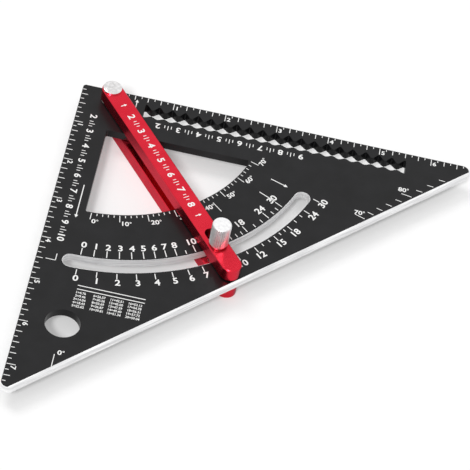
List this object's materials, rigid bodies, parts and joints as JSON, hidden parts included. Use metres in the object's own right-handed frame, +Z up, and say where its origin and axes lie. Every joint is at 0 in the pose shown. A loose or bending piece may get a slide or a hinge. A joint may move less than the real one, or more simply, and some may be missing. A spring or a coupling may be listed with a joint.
{
  "type": "protractor square",
  "caption": "Flat right-angled marking triangle with a window, an arc slot and a notched marking slot; its fence arm swings about a corner pivot and is clamped by a knurled thumb knob.",
  "frame": {"origin": "under the middle of the square that bounds the plate, on the plane of the lower bar's underside", "axes": "+X along the top leg away from the square corner, +Y along the left leg towards the square corner, +Z up through the plate to the knob"},
  "size_m": [0.1905, 0.1905, 0.0325],
  "materials": {
    "black_anodised": "black anodised, semi-gloss",
    "red_anodised": "red anodised, satin",
    "polished_steel": "polished",
    "plain_steel": "satin",
    "knurled_steel": "straight knurl",
    "nylon": "matte",
    "bare_aluminium": "milled bright",
    "white_print": "printed, matte"
  },
  "bodies": {
    "square": {"square_plate": "black_anodised"},
    "arm": {"upper_arm_bar": "red_anodised", "lower_arm_bar": "red_anodised", "pivot_post": "polished_steel", "pivot_screw": "plain_steel", "upper_slip_washer": "nylon", "lower_slip_washer": "nylon", "clamp_stud": "plain_steel"},
    "washer": {"knob_washer": "plain_steel"},
    "knob": {"thumb_knob": "knurled_steel"}
  },
  "joints": [
    {"name": "arm_swing", "type": "hinge", "parent": "square", "child": "arm", "pos_m": [-0.08075, 0.0889, 0.0095], "axis": [0, 0, 1], "range_deg": [-37.7, 32.3]},
    {"name": "knob_rise", "type": "slide", "parent": "arm", "child": "washer", "axis": [0, 0, 1], "range_m": [0, 0.0016]},
    {"name": "knob_turn", "type": "hinge", "parent": "washer", "child": "knob", "pos_m": [-0.01599, 0.00511, 0.0198], "axis": [0, 0, 1], "range_deg": [0, 720]}
  ],
  "couplings": [
    {"joint": "knob_turn", "follows": "knob_rise", "rad_per_m": 7853.9}
  ]
}
